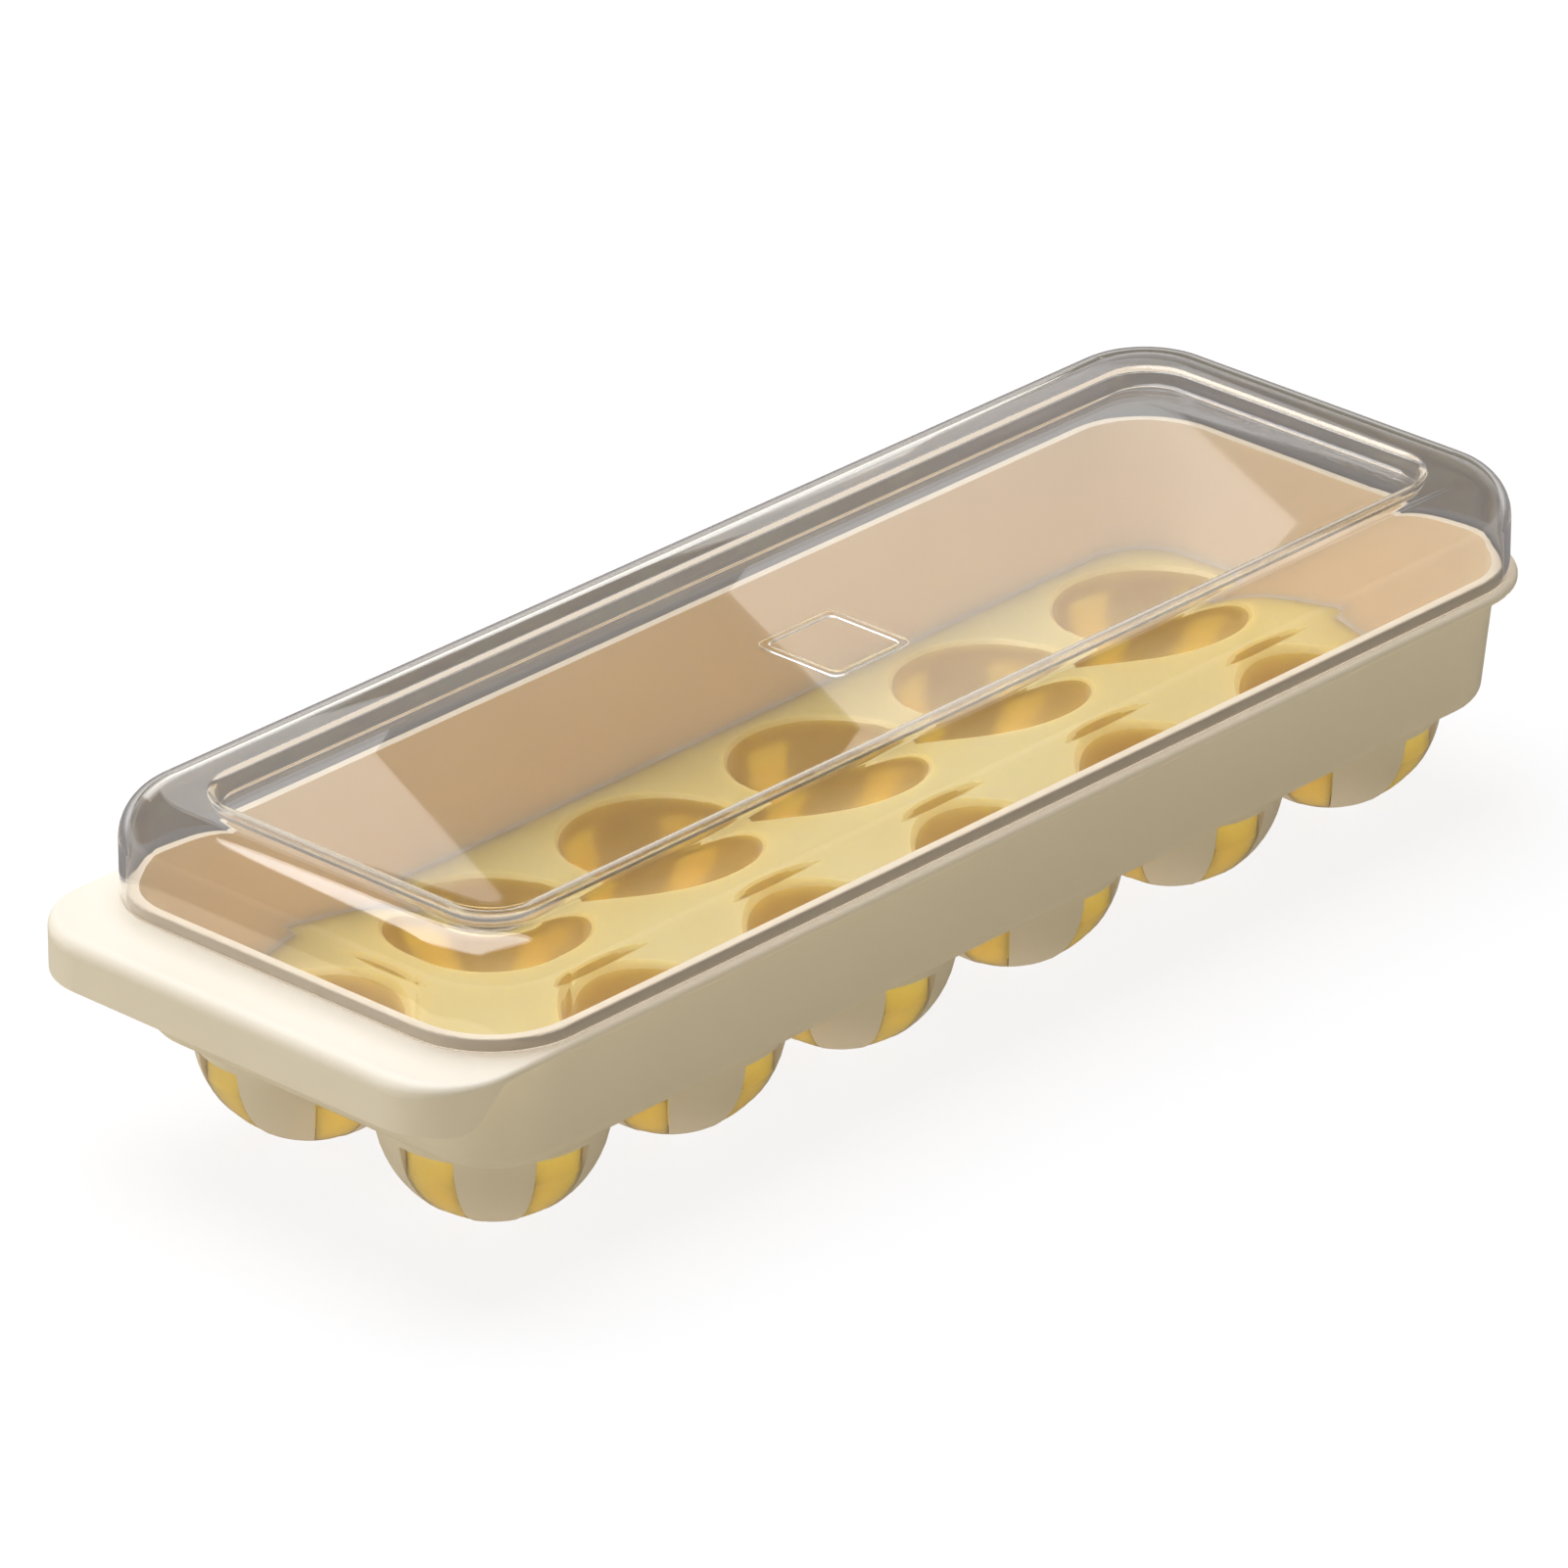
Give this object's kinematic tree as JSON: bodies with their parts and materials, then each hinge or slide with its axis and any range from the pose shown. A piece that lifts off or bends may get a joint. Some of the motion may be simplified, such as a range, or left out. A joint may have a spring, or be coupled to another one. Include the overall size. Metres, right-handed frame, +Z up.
{
  "type": "egg holder",
  "caption": "Lidded egg keeper: a moulded tub on rows of ball-shaped caged cups with a front pull handle, a loose egg tray inside and a clear lift-off lid with a sunk panel.",
  "frame": {"origin": "on the table, under the middle of the whole outline", "axes": "+Z up, Y along the rows of cups with the handle at -Y, X across the rows"},
  "size_m": [0.1132, 0.3184, 0.0707],
  "materials": {
    "cream_plastic": "satin",
    "honey_plastic": "translucent gloss",
    "clear_plastic": "clear gloss"
  },
  "bodies": {
    "base": {"base_box": "cream_plastic"},
    "tray": {"egg_tray": "honey_plastic"},
    "cover": {"lid": "clear_plastic"}
  },
  "joints": [
    {"name": "tray_lift", "type": "slide", "parent": "base", "child": "tray", "axis": [0, 0, 1], "range_m": [0, 0.06]},
    {"name": "lid_lift", "type": "slide", "parent": "tray", "child": "cover", "axis": [0, 0, 1], "range_m": [0, 0.05]}
  ]
}
